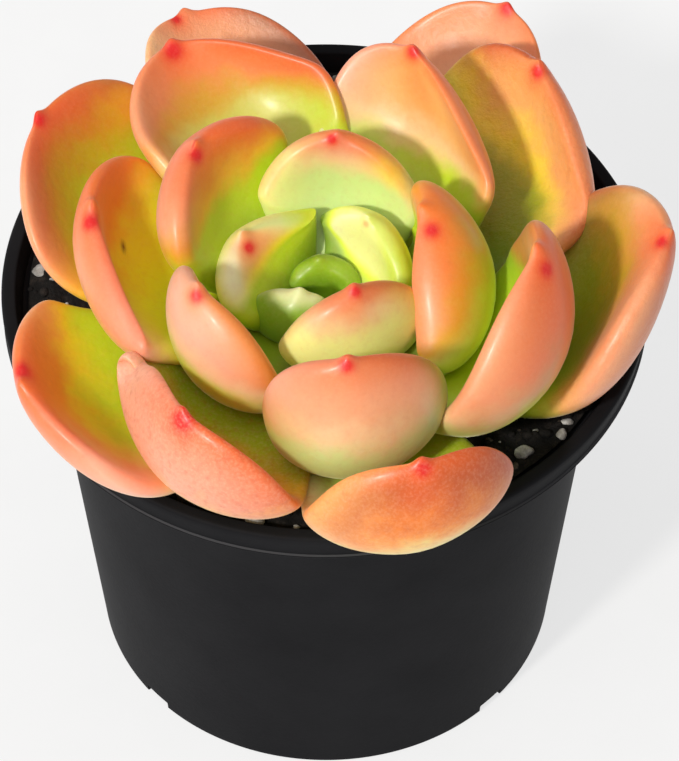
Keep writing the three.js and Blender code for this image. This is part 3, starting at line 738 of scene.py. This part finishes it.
def grains_piece(name, spots, skin, detail, seed):
    """Small angular lumps, each a blob pushed in and out, turned and stretched in its own way."""
    blob, blob_faces = ball(detail)
    draw = np.random.RandomState(seed)
    (coarse_waves, coarse_depth), (fine_waves, fine_depth) = GRAIN_COARSE, GRAIN_FINE
    coarse, fine = ripples(seed, coarse_waves), ripples(seed + 1, fine_waves)
    points, faces = [], []
    for i, (centre, size) in enumerate(spots):
        shift = draw.uniform(0, GRAIN_SHIFT, 3)
        push = 1 + coarse_depth * coarse(blob + shift) + fine_depth * fine(blob + shift)
        turn = (Matrix.Rotation(draw.uniform(0, GRAIN_TURN), 3, "Z")
                @ Matrix.Rotation(draw.uniform(0, GRAIN_TURN), 3, "X"))
        grain = (blob * push[:, None]) @ np.array(turn).T * draw.uniform(*GRAIN_STRETCH)
        points.append(grain * size + np.array(centre))
        faces.append(blob_faces + i * len(blob))
    piece = mesh_piece(name, np.concatenate(points), np.concatenate(faces).tolist())
    piece.data.materials.append(skin)


def laid(spots, lumps, rise):
    """Grains at x, y and size, each with its middle above the mix by a share of its size."""
    x, y, size = np.array(spots).T
    level = soil_height(x, y, lumps) + rise * size
    return [((a, b, c), s) for a, b, c, s in zip(x, y, level, size)]


def strewn_grains(lumps):
    """Crumbs, chips and white specks scattered over the mix."""
    draw = Draw(GRAIN_SEED)
    crumbs, chips, specks = [], [], []
    for _ in range(GRAIN_COUNT):
        distance = GRAIN_REACH * math.sqrt(GRAIN_CORE_SHARE + (1 - GRAIN_CORE_SHARE) * draw())
        bearing = 2 * math.pi * draw()
        size = GRAIN_SMALLEST + GRAIN_SPREAD * draw() ** GRAIN_POWER
        kind = draw()
        into = crumbs if kind < CRUMBS_UP_TO else chips if kind < CHIPS_UP_TO else specks
        scale = SPECK_SCALE if into is specks else 1.0
        into.append((distance * math.cos(bearing), distance * math.sin(bearing), size * scale))
    return [laid(spots, lumps, GRAIN_RISE) for spots in (crumbs, chips, specks)]


def add_soil_bed(lumps):
    """The block of mix: its floor, its neck under the collar, and rings of its top from the edge inwards."""
    radii = SOIL_RADIUS * np.sqrt(np.linspace(1, SOIL_CORE_SHARE, SOIL_RINGS))
    angle = np.linspace(0, 2 * math.pi, SOIL_SIDES, endpoint=False)
    r, a = np.meshgrid(radii, angle, indexing="ij")
    x, y = r * np.cos(a), r * np.sin(a)
    spread = np.stack([x, y, np.zeros_like(x)], -1)
    relief = sum(height * ripples(seed, waves)(spread) for seed, waves, height in SOIL_RELIEF)
    z = soil_height(x, y, lumps) + relief * smoothstep(0, RELIEF_FADE, SOIL_RADIUS - r + RELIEF_EDGE)
    top = np.stack([x, y, z], -1)
    floor = WALL + SOIL_GAP
    neck = wall_radius(COLLAR_FOOT) - WALL - SOIL_GAP
    low = wall_radius(floor) - WALL - SOIL_GAP
    points = [(0, 0, floor)]
    points += [(low * math.cos(t), low * math.sin(t), floor) for t in angle]
    points += [(neck * math.cos(t), neck * math.sin(t), COLLAR_FOOT + SOIL_GAP) for t in angle]
    points += top.reshape(-1, 3).tolist()
    points.append((0, 0, float(soil_height(np.zeros(1), np.zeros(1), lumps)[0])))
    bed = mesh_piece("soil_bed", points, ring_faces(SOIL_RINGS + 2, SOIL_SIDES), replaces=["soil"])
    bed.data.materials.append(earth("soil_mix"))


def add_soil():
    lumps = soil_lumps()
    add_soil_bed(lumps)
    crumbs, chips, specks = strewn_grains(lumps)
    white = laid([(d * math.cos(math.radians(b)), d * math.sin(math.radians(b)), size)
                  for d, b, size in GRAINS], [], WHITE_RISE)
    grains_piece("soil_crumbs", crumbs, earth("soil_crumb"), detail=2, seed=21)
    grains_piece("soil_chips", chips, earth("soil_chip"), detail=2, seed=22)
    grains_piece("soil_perlite", white + specks, earth("perlite"), detail=3, seed=23)


def axis_at(z):
    """Point on the leaning axis of the rosette at a height."""
    return AXIS_AT_SOIL + AXIS_SLOPE * (z - AXIS_AT_SOIL[2])


def add_stem():
    foot, top = Vector(axis_at(STEM_FOOT_Z)), Vector(axis_at(STEM_TOP_Z))
    length = (top - foot).length
    profile = [(0, 0), (STEM_FOOT_RADIUS - 1, 0), (STEM_FOOT_RADIUS - 0.3, 0.7), (STEM_FOOT_RADIUS, 2)]
    for t in np.linspace(*STEM_FOOT_RINGS):
        ridge = STEM_FOOT_RIDGE * (1 - math.cos(t * STEM_RIDGE_WAVES)) / 2
        profile.append((STEM_FOOT_RADIUS - ridge, t * length))
    taper_from, taper_to = STEM_FOOT_RINGS[1], STEM_TOP_RINGS[1]
    for t in np.linspace(*STEM_TOP_RINGS):
        ridge = STEM_TOP_RIDGE * (1 - math.cos(t * STEM_RIDGE_WAVES)) / 2
        share = (t - taper_from) / (taper_to - taper_from)
        radius = STEM_FOOT_RADIUS + (STEM_TOP_RADIUS - STEM_FOOT_RADIUS) * share
        profile.append((radius - ridge, t * length))
    profile.append((0, length))
    points, faces = lathe(profile, STEM_SIDES)
    lean = Vector((0, 0, 1)).rotation_difference(top - foot).to_matrix()
    points = [lean @ Vector(p) + foot for p in points]
    stem = mesh_piece("stem_core", points, faces, replaces=["stem"])
    n = Nodes("stem_skin")
    bands = n.noise(scale=300.0, detail=4.0)
    green, olive, brown = (srgb(*colour) for colour in STEM_COLOURS)
    colour = n.ramp(bands, [(0.3, green), (0.55, olive), (0.8, brown)])
    n.finish(Base_Color=colour, Roughness=0.7, Normal=n.bump(bands, strength=0.4, distance=0.0005))
    stem.data.materials.append(n.material)


def width_share(leaf, s):
    """Half width of a leaf at a place along it, as a share of its greatest."""
    swell = np.sin(np.pi / 2 * np.minimum(s / leaf["widest"], 1)) ** SWELL_POWER
    rising = leaf["base"] + (1 - leaf["base"]) * swell
    past = np.clip((s - leaf["widest"]) / (1 - leaf["widest"]), 0, 1)
    return np.where(s < leaf["widest"], rising, (1 - past ** leaf["end"]) ** (1 / leaf["end"]))


def thickness_share(s):
    """Thickness of a leaf at a place along it, as a share of its greatest, which it has in the middle."""
    past = np.clip(2 * s - 1, 0, 1)
    rising = THICK_AT_ROOT + (1 - THICK_AT_ROOT) * np.sin(np.pi * s)
    return np.where(s < 0.5, rising, (1 - past ** THICK_POWERS[0]) ** (1 / THICK_POWERS[1]))


def pitch_at(leaf, s):
    """Climb of a leaf's midrib in radians at a place along it."""
    turn = smoothstep(leaf["turn"][0], leaf["turn"][1], s)
    return np.radians(leaf["pitch"][0] + (leaf["pitch"][1] - leaf["pitch"][0]) * turn)


def midrib(leaf, s):
    """How far out from the stem and up the midrib is at a place along it."""
    steps = MIDRIB_STEPS
    pitch = pitch_at(leaf, (np.arange(steps) + 0.5) / steps)
    step = leaf["length"] / steps
    out = np.concatenate([[0], np.cumsum(np.cos(pitch) * step)])
    up = np.concatenate([[0], np.cumsum(np.sin(pitch) * step)])
    at = np.arange(steps + 1) / steps
    return np.interp(s, at, out), np.interp(s, at, up)


def leaf_surface(leaf):
    """Rings of points round a leaf, the points at its tip and root, and fields of its points: the place along
    it, the place across it, half its width there, and the angle round its section in degrees."""
    t = np.linspace(0, 1, LEAF_STATIONS + 1)[:-1]
    s = 1 - (1 - t) ** STATION_POWER
    s = s / s[-1] * LAST_STATION
    bearing = math.radians(leaf["az"])
    out = np.array([math.cos(bearing), math.sin(bearing), 0])
    side = np.array([-math.sin(bearing), math.cos(bearing), 0])
    up = np.array([0, 0, 1.0])
    root = axis_at(leaf["z"]) + out * leaf["root"]
    pitch = pitch_at(leaf, s)
    share = width_share(leaf, s)
    half = leaf["half"] * share
    thick = leaf["thick"] * thickness_share(s)
    opening = np.clip(CURL_AT_ROOT + (1 - CURL_AT_ROOT) * s / CURL_FULL_AT, 0, 1)
    curl = math.radians(leaf["cup"]) * np.sqrt(share) * opening
    radius = half / curl
    roll = np.radians(leaf["roll"] + leaf["twist"] * s)
    inward = -np.sin(pitch)[:, None] * out + np.cos(pitch)[:, None] * up
    across = np.cos(roll)[:, None] * side + np.sin(roll)[:, None] * inward
    normal = -np.sin(roll)[:, None] * side + np.cos(roll)[:, None] * inward
    ahead = np.cos(pitch)[:, None] * out + np.sin(pitch)[:, None] * up
    rib_out, rib_up = midrib(leaf, s)
    centre = root + rib_out[:, None] * out + rib_up[:, None] * up
    centre = centre + (leaf["sway"] * 4 * s * (1 - s))[:, None] * side
    phase = np.linspace(0, 2 * np.pi, LEAF_SIDES, endpoint=False)
    u = signed_power(np.cos(phase), 2 / SECTION_POWER)[None, :]
    through = signed_power(np.sin(phase), 2 / SECTION_POWER)[None, :]
    h = thick[:, None] / 2 * through
    keel = 1 + KEEL * np.exp(-(u / KEEL_BREADTH) ** 2) * np.clip((s[:, None] - KEEL_START) / KEEL_RISE, 0, 1)
    h = np.where(h < 0, h * keel, h)
    angle = curl[:, None] * u
    x = (radius[:, None] - h) * np.sin(angle)
    y = radius[:, None] * (1 - np.cos(angle)) + h * np.cos(angle)
    point = centre[:, None, :] + x[..., None] * across[:, None, :] + y[..., None] * normal[:, None, :]
    nose = TIP_POINT * np.exp(-(x ** 2 + y ** 2) / TIP_BREADTH ** 2)
    point = point + nose[..., None] * ahead[:, None, :]
    tip_out, tip_up = midrib(leaf, np.array([1.0]))
    apex = root + out * tip_out[0] + up * tip_up[0] + ahead[-1] * TIP_POINT
    fields = dict(along=s[:, None], across=u, half=half[:, None], phase=np.degrees(phase)[None, :])
    fields = {key: np.broadcast_to(values, point.shape[:2]) for key, values in fields.items()}
    return point, apex, root, fields


def distance_from(point, f, along, turn):
    """How far each point of a leaf lies from the one at that place along it and angle round the section."""
    i = int(np.argmin(np.abs(f["along"][:, 0] - along)))
    k = int(np.argmin(np.abs((f["phase"][0] - turn + 180) % 360 - 180)))
    return np.linalg.norm(point - point[i, k], axis=-1)


def leaf_paint(leaf, look, point, f):
    """Colours and strengths at each point of a leaf: lower, middle and upper colour, the change between
    them, the coloured end, the red point, and the fine and wet relief."""
    s, phase = f["along"], np.radians(f["phase"])
    tints = {name: np.array(srgb(*seen)) for name, seen in PALETTE.items()}
    to_tip = (1 - s) * leaf["length"]
    to_side = (1 - np.abs(f["across"])) * f["half"]
    edge, low, mid, high = 0, 0, 0, 0
    for side, centre in SIDES.items():
        weight = np.maximum(np.cos(phase - math.radians(centre)), 0) ** 2
        place, lower, upper, *between = look[side]
        middle = between[0] if between else look["mid"]
        edge = edge + weight * place
        low = low + weight[..., None] * tints[lower]
        mid = mid + weight[..., None] * tints[middle]
        high = high + weight[..., None] * tints[upper]
    root = smoothstep(*ROOT_FADE, s)[..., None]
    low = low + root * ROOT_STRENGTH * (tints[look["root"]] - low)
    flush = 0.5 + (s - edge) / (2 * look["soft"])
    colour, reach, strength = look["tip"]
    end = np.broadcast_to(tints[colour], low.shape)
    ember = strength * np.exp(-(to_tip / reach) ** 2)
    margin = np.exp(-(to_side / MARGIN_REACH) ** 2) * smoothstep(*MARGIN_FADE, s)
    ember = np.maximum(ember, MARGIN_STRENGTH * strength * margin)
    red = np.zeros_like(s)
    if look["spot"]:
        along, turn, size, strength = look["spot"]
        away = distance_from(point, f, along, turn)
        red = strength * np.minimum(RED_FULLNESS * np.exp(-(away / (size * RED_SHARE)) ** 2), 1)
        ember = np.maximum(ember, GLOW_STRENGTH * strength * np.exp(-(away / (size * GLOW_REACH)) ** 2))
        if look["streak"]:
            turned = (f["phase"] - turn + 180) % 360 - 180
            line = np.exp(-(turned / STREAK_HALF_WIDTH) ** 2)
            line = line * np.exp(-(np.maximum(away - size, 0) / look["streak"]) ** 2)
            ember = np.maximum(ember, STREAK_STRENGTH * line)
    if look["scar"]:
        along, turn, size = look["scar"]
        fleck = np.exp(-(distance_from(point, f, along, turn) / size) ** 2)[..., None]
        low, mid, high, end = (c + fleck * (np.array(srgb(*SCAR)) - c) for c in (low, mid, high, end))
    constant = np.ones_like(s)
    return dict(low=low, mid=mid, high=high, end=end, flush=flush, ember=ember, red=red,
                rough=look["rough"] * constant, wet=look["wet"] * constant)


def leaf_skin():
    n = Nodes("leaf_skin")
    broad = n.noise(scale=130.0, detail=3.0)
    fine = n.noise(scale=900.0, detail=3.0, roughness=0.6)
    grit = n.noise(scale=1900.0, detail=2.0, roughness=0.6)
    rough, smooth_step = n.field("rough"), {"interpolation_type": "SMOOTHSTEP"}

    def cloudy(value, share):
        return n.math("ADD", value, n.math("MULTIPLY", n.math("SUBTRACT", broad, 0.5), share))

    def flecked(colour, amount, strength, fleck):
        speck = n.math("MAXIMUM", n.math("MULTIPLY", amount, rough), 0.0)
        return n.mix(n.math("MULTIPLY", speck, strength, clamp=True), colour, (*srgb(*fleck), 1))

    flush = cloudy(n.field("flush"), 0.7)
    colour = n.mix(n.remap(flush, smooth_step, From_Max=0.62), n.colour("low"), n.colour("mid"))
    colour = n.mix(n.remap(flush, smooth_step, From_Min=0.4), colour, n.colour("high"))
    ember = cloudy(n.field("ember"), 0.25)
    colour = n.mix(n.math("MULTIPLY", ember, 0.9, clamp=True), colour, n.colour("end"))
    colour = n.mix(n.math("MULTIPLY", n.field("red"), 0.95), colour, (*srgb(*RED), 1))
    colour = flecked(colour, n.math("SUBTRACT", grit, 0.42), 0.7, PALE_FLECK)
    colour = flecked(colour, n.math("SUBTRACT", 0.5, fine), 1.6, RED_FLECK)
    creases = n.noise(scale=500.0, detail=4.0, roughness=0.7)
    normal = n.bump(broad, strength=0.25, distance=0.0012)
    pores = n.math("ADD", n.math("MULTIPLY", rough, 0.15), 0.06)
    normal = n.bump(fine, strength=pores, distance=0.0004, below=normal)
    wrinkles = n.math("MULTIPLY", n.field("wet"), 0.6)
    normal = n.bump(creases, strength=wrinkles, distance=0.0008, below=normal)
    return n.finish(
        Base_Color=colour, Roughness=n.remap(grit, To_Min=0.36, To_Max=0.5), Normal=normal,
        Subsurface_Weight=0.25, Subsurface_Radius=(0.8, 0.6, 0.25), Subsurface_Scale=0.002,
        Specular_IOR_Level=0.5, Coat_Weight=0.1, Coat_Roughness=0.2,
        Sheen_Weight=0.3, Sheen_Roughness=0.25, Sheen_Tint=(1, 0.93, 0.76, 1),
    )


def add_leaves():
    skin = leaf_skin()
    faces = ring_faces(LEAF_STATIONS, LEAF_SIDES)
    for i, (row, looks) in enumerate(zip(LEAVES, LOOKS)):
        leaf = {**LEAF_DEFAULTS, **row}
        look = {**LOOK_DEFAULTS, **looks}
        point, apex, root, fields = leaf_surface(leaf)
        paint = leaf_paint(leaf, look, point, fields)
        points = np.concatenate([[root], point.reshape(-1, 3), [apex]])
        attributes = {}
        for key, values in paint.items():
            flat = values.reshape(len(points) - 2, -1)
            attributes[key] = np.concatenate([flat[:1], flat, flat[-1:]])
        node = f"leaf_{i + 1:02d}"
        piece = mesh_piece(f"{node}_blade", points, faces, replaces=[node], attributes=attributes)
        piece.data.materials.append(skin)


scene.view_settings.view_transform = "Standard"
add_camera()
add_stage()
add_sun("key", KEY_AZIMUTH, KEY_ELEVATION, KEY_STRENGTH, KEY_SIZE, KEY_COLOUR)
add_sun("fill", FILL_AZIMUTH, FILL_ELEVATION, FILL_STRENGTH, FILL_SIZE, FILL_COLOUR)
add_pot()
add_soil()
add_stem()
add_leaves()
